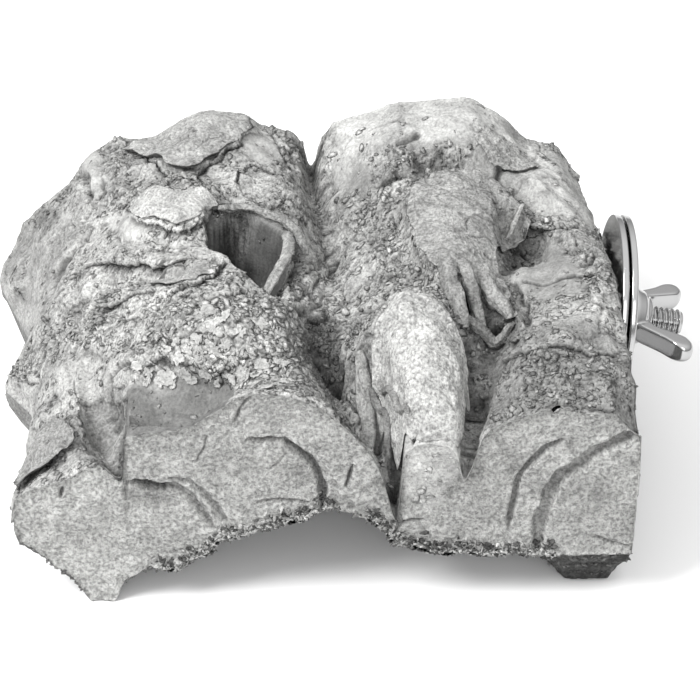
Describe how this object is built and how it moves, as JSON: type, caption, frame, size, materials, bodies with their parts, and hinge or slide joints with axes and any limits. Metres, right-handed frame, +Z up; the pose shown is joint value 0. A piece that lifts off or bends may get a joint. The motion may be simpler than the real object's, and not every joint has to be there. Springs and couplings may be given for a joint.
{
  "type": "cork platform",
  "caption": "Thick arched slab of virgin cork bark with sawn front, back and right end, a climbing ledge for a wire cage, held by a stud, broad washers and a wing nut.",
  "frame": {"origin": "under the middle of the whole object, on the surface that the slab's feet rest on", "axes": "+X along the slab to the end with the clamp, +Y from the sawn front face to the back, +Z up"},
  "size_m": [0.1688, 0.1134, 0.0659],
  "materials": {
    "cork": "rough matte bark",
    "steel": "bright zinc plate"
  },
  "bodies": {
    "platform": {"cork_bark": "cork", "hanger_bolt": "steel", "inner_washer": "steel"},
    "outer_washer": {"outer_washer": "steel"},
    "wing_nut": {"wing_nut": "steel"}
  },
  "joints": [
    {"name": "washer_slide", "type": "slide", "parent": "platform", "child": "outer_washer", "axis": [0.9848, 0, -0.1736], "range_m": [0, 0.00765]},
    {"name": "nut_turn", "type": "hinge", "parent": "outer_washer", "child": "wing_nut", "pos_m": [0.06501, -0.00423, 0.04334], "axis": [0.9848, 0, -0.1736], "range_deg": [0, 2160]}
  ],
  "couplings": [
    {"joint": "washer_slide", "follows": "nut_turn", "m_per_rad": 0.00020213}
  ]
}
